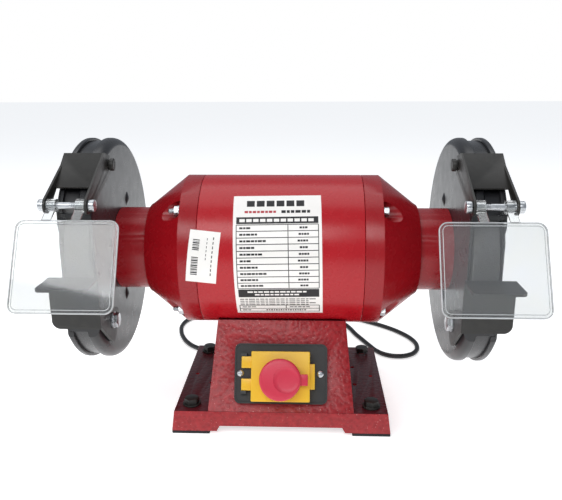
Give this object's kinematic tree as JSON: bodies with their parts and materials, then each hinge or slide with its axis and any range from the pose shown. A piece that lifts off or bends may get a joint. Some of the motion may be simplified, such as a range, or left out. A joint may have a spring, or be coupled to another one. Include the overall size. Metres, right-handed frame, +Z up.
{
  "type": "bench grinder",
  "caption": "Double-ended bench grinder: red enclosed motor on a sloped pedestal with a front switch, a guarded abrasive wheel at each end, eye shields and tool rests.",
  "frame": {"origin": "on the bench under the middle of the grinder's own outline, without the cord", "axes": "+X along the spindle to the right-hand wheel as the operator sees it, +Y away from the operator, +Z up"},
  "size_m": [0.4548, 0.4248, 0.288],
  "materials": {
    "hammered_red": "hammered red lacquer over cast and folded metal",
    "red_enamel": "gloss red enamel",
    "black_enamel": "gloss dark grey enamel on pressed sheet",
    "black_steel": "satin black paint on sheet and bolts",
    "zinc_steel": "bright zinc plating",
    "plain_steel": "turned or pressed plain steel",
    "copper_wire": "varnished copper windings",
    "abrasive": "grey vitrified aluminium oxide, dressed",
    "clear_sheet": "clear moulded polycarbonate with a faint haze",
    "black_plastic": "textured moulded black plastic",
    "yellow_plastic": "moulded yellow plastic, satin",
    "red_plastic": "moulded red plastic, satin",
    "green_plastic": "moulded green plastic",
    "black_rubber": "moulded black rubber",
    "cord_sheath": "smooth black PVC sheath",
    "grey_can": "grey moulded capacitor case"
  },
  "bodies": {
    "root": {"pedestal": "hammered_red", "rubber_pad_front_left": "black_rubber", "foot_bolt_front_left": "black_steel", "rubber_pad_rear_left": "black_rubber", "foot_bolt_rear_left": "black_steel", "rubber_pad_front_right": "black_rubber", "foot_bolt_front_right": "black_steel", "rubber_pad_rear_right": "black_rubber", "foot_bolt_rear_right": "black_steel", "bottom_cover": "plain_steel", "capacitor": "grey_can", "motor_shell": "red_enamel", "stator_core": "plain_steel", "stator_winding": "copper_wire", "through_bolt_1": "zinc_steel", "through_bolt_2": "zinc_steel", "through_bolt_3": "zinc_steel", "through_bolt_4": "zinc_steel", "end_bell_left": "red_enamel", "end_bell_right": "red_enamel", "bearing_left": "plain_steel", "bearing_right": "plain_steel", "guard_pan_left": "black_enamel", "guard_pan_right": "black_enamel", "guard_cover_left": "black_enamel", "guard_cover_right": "black_enamel", "deflector_bolt_left": "black_steel", "deflector_bolt_right": "black_steel", "tool_rest_bolt_left": "zinc_steel", "tool_rest_bolt_right": "zinc_steel", "switch_plate": "black_plastic", "switch_body": "black_plastic", "plate_screw_left": "zinc_steel", "plate_screw_right": "zinc_steel", "cord_gland": "black_rubber", "cord": "cord_sheath", "cord_coil": "cord_sheath", "mains_plug": "black_rubber"},
    "spindle": {"spindle_shaft": "plain_steel", "rotor_core": "plain_steel", "wheel_left": "abrasive", "wheel_right": "abrasive", "wheel_flange_inner_left": "plain_steel", "wheel_flange_inner_right": "plain_steel", "wheel_flange_outer_left": "plain_steel", "wheel_flange_outer_right": "plain_steel", "spindle_nut_left": "zinc_steel", "spindle_nut_right": "zinc_steel"},
    "deflector_left": {"spark_deflector_left": "black_steel", "shield_rod_left": "zinc_steel"},
    "shield_left": {"eye_shield_left": "clear_sheet"},
    "rest_left": {"tool_rest_left": "black_steel"},
    "deflector_right": {"spark_deflector_right": "black_steel", "shield_rod_right": "zinc_steel"},
    "shield_right": {"eye_shield_right": "clear_sheet"},
    "rest_right": {"tool_rest_right": "black_steel"},
    "flap": {"switch_flap": "yellow_plastic"},
    "mushroom": {"stop_mushroom": "red_plastic"},
    "start_button": {"start_key": "green_plastic"},
    "stop_button": {"stop_key": "red_plastic"}
  },
  "joints": [
    {"name": "spindle_spin", "type": "hinge", "parent": "root", "child": "spindle", "pos_m": [0, 0.02675, 0.172], "axis": [1, 0, 0], "continuous": true},
    {"name": "deflector_slide_left", "type": "slide", "parent": "root", "child": "deflector_left", "axis": [0, -0.7944, -0.6074], "range_m": [-0.003, 0.008]},
    {"name": "shield_hinge_left", "type": "hinge", "parent": "deflector_left", "child": "shield_left", "pos_m": [-0.182, -0.08527, 0.24081], "axis": [-1, 0, 0], "range_deg": [-5, 75]},
    {"name": "tool_rest_slide_left", "type": "slide", "parent": "root", "child": "rest_left", "axis": [0, -1, 0], "range_m": [-0.001, 0.012]},
    {"name": "deflector_slide_right", "type": "slide", "parent": "root", "child": "deflector_right", "axis": [0, -0.7944, -0.6074], "range_m": [-0.003, 0.008]},
    {"name": "shield_hinge_right", "type": "hinge", "parent": "deflector_right", "child": "shield_right", "pos_m": [0.182, -0.08527, 0.24081], "axis": [-1, 0, 0], "range_deg": [-5, 75]},
    {"name": "tool_rest_slide_right", "type": "slide", "parent": "root", "child": "rest_right", "axis": [0, -1, 0], "range_m": [-0.001, 0.012]},
    {"name": "flap_hinge", "type": "hinge", "parent": "root", "child": "flap", "pos_m": [-0.037, -0.05123, 0.06325], "axis": [0, -0.4103, -0.912], "range_deg": [0, 100]},
    {"name": "mushroom_press", "type": "slide", "parent": "flap", "child": "mushroom", "axis": [0, 0.912, -0.4103], "range_m": [0, 0.003], "stiffness_N_per_m": 800, "springref_m": -0.001},
    {"name": "start_press", "type": "slide", "parent": "root", "child": "start_button", "axis": [0, 0.912, -0.4103], "range_m": [0, 0.003], "stiffness_N_per_m": 400, "springref_m": -0.001},
    {"name": "stop_press", "type": "slide", "parent": "root", "child": "stop_button", "axis": [0, 0.912, -0.4103], "range_m": [0, 0.003], "stiffness_N_per_m": 400, "springref_m": -0.001}
  ],
  "couplings": [
    {"joint": "stop_press", "follows": "mushroom_press", "ratio": 1}
  ]
}
